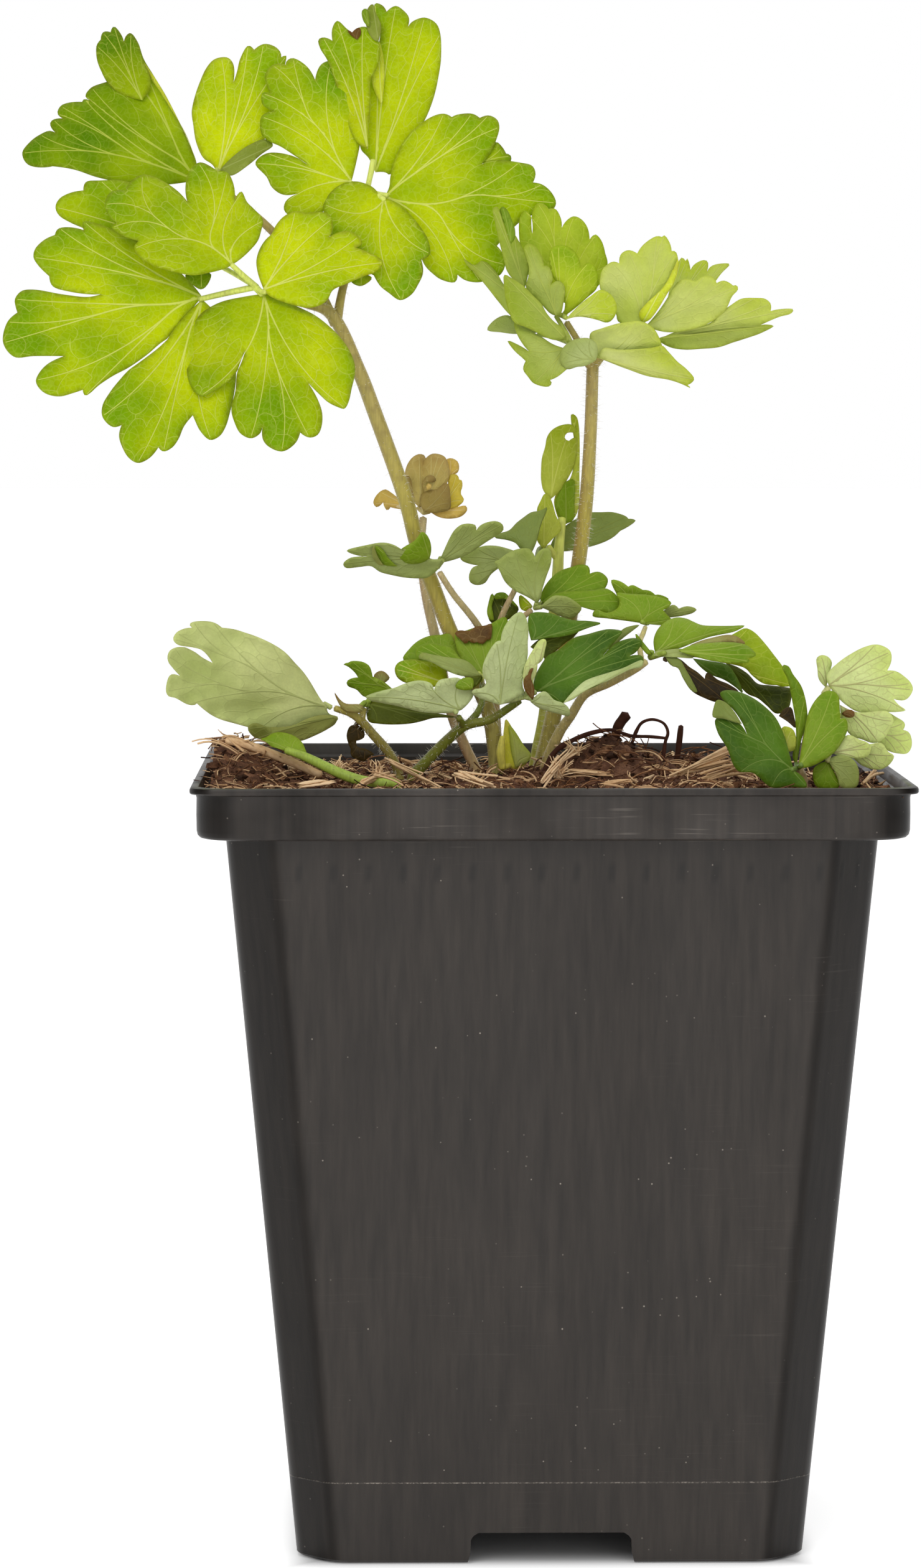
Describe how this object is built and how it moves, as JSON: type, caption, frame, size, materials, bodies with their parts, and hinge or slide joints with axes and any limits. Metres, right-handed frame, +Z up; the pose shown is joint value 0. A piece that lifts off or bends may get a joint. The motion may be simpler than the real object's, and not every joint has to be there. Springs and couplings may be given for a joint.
{
  "type": "potted columbine plant",
  "caption": "Young columbine with lobed, toothed leaflets on thin hairy stalks, rooted in fibrous compost in a tapered square black nursery pot that stands on a flat surface.",
  "frame": {"origin": "centre of the bounding box at the surface the pot stands on", "axes": "+Z up along the pot; the front of the pot faces -Y; +X to the right seen from the front"},
  "size_m": [0.1162, 0.09, 0.1993],
  "materials": {
    "pot": "satin black recycled polypropylene with fine dust",
    "soil": "rough fibrous peat compost, matt",
    "lime": "soft satin leaf, yellow-green, lit through",
    "green": "soft satin leaf, mid green",
    "grey": "matt leaf underside, grey-green",
    "deep": "satin leaf, deep green",
    "pale": "matt leaf underside, pale green with a net of veins",
    "brownLeaf": "young leaf, olive brown",
    "olive": "hairy stalk, olive green",
    "purple": "hairy stalk, purplish brown",
    "dead": "dead leaf, dark brown and papery",
    "straw": "dry straw and bark, pale tan",
    "sheath": "membrane at the foot of the stalks, yellow-green"
  },
  "bodies": {
    "root": {"tall_left_petiole": "olive", "tall_right_petiole": "olive", "young_brown_petiole": "purple", "mid_leaf_petiole": "purple", "low_leaf_petiole": "green", "side_leaf_petiole": "olive", "droop_leaf_petiole": "olive", "right_leaf_petiole": "purple", "head_left_lower": "lime", "head_left_upper": "lime", "head_mid": "lime", "head_right_left": "green", "head_right_mid": "green", "head_right_end": "green", "young_brown_leaf": "brownLeaf", "young_green_leaf": "lime", "mid_leaf_left": "grey", "mid_leaf_back": "grey", "mid_leaf_centre": "green", "right_upper_leaf": "green", "low_leaf_left": "pale", "low_leaf_lime": "deep", "low_leaf_front": "deep", "side_leaf_big": "pale", "side_leaf_small": "grey", "droop_leaf": "deep", "dead_leaflet": "dead", "right_leaf_green": "deep", "right_leaf_pale": "pale", "soil_shoot": "green", "withered_leaf": "dead", "crown_sheath": "sheath", "pot": "pot", "soil": "soil", "straw_stalk": "straw", "straw_chip_front": "straw", "straw_chip_left": "straw", "straw_chip_right": "straw"}
  },
  "joints": []
}
